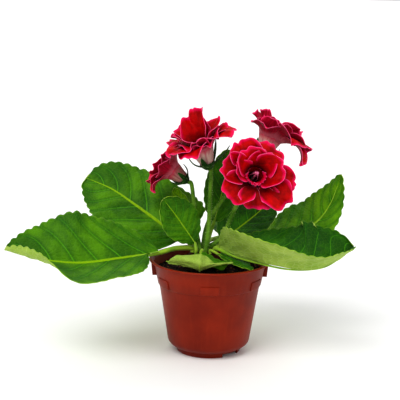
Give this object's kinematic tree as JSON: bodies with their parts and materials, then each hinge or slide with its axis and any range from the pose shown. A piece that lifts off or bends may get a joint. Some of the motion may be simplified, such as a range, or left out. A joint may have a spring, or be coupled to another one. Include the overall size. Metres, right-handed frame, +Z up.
{
  "type": "potted gloxinia",
  "caption": "Potted gloxinia with broad scalloped velvety leaves and double ruffled red flowers edged in pink, standing in a round terracotta-coloured plastic nursery pot.",
  "frame": {"origin": "on the pot's axis, at the surface that the pot stands on", "axes": "+Z up; +X to the right along the plant's widest spread; +Y to the back, so the side the best flower faces is -Y"},
  "size_m": [0.3377, 0.2052, 0.2395],
  "materials": {
    "pot": "moulded terracotta-coloured plastic with a faint sheen",
    "soil": "damp dark peat",
    "tuber": "rough brown skin",
    "leaf": "velvety quilted leaf, pale green beneath",
    "stalk": "downy green stem",
    "calyx": "downy dark green sepals",
    "petal": "velvety red petal with a hot pink edge",
    "pistil": "smooth pink-purple"
  },
  "bodies": {
    "root": {"pot": "pot", "soil": "soil", "tuber": "tuber", "leaf_front_left": "leaf", "leaf_back_left": "leaf", "leaf_front_right": "leaf", "leaf_back_right": "leaf", "leaf_front_small": "leaf", "leaf_centre_left": "leaf", "leaf_back_centre": "leaf", "leaf_mid_right": "leaf", "leaf_low_right": "leaf", "leaf_young_left": "leaf", "leaf_rear_left": "leaf", "leaf_rear_right": "leaf", "stalk_upper_left": "stalk", "calyx_upper_left": "calyx", "outer_petals_upper_left": "petal", "inner_petals_upper_left": "petal", "pistil_upper_left": "pistil", "stalk_lower_left": "stalk", "calyx_lower_left": "calyx", "outer_petals_lower_left": "petal", "inner_petals_lower_left": "petal", "pistil_lower_left": "pistil", "stalk_centre_right": "stalk", "calyx_centre_right": "calyx", "outer_petals_centre_right": "petal", "inner_petals_centre_right": "petal", "pistil_centre_right": "pistil", "stalk_back_right": "stalk", "calyx_back_right": "calyx", "outer_petals_back_right": "petal", "inner_petals_back_right": "petal", "pistil_back_right": "pistil"}
  },
  "joints": []
}
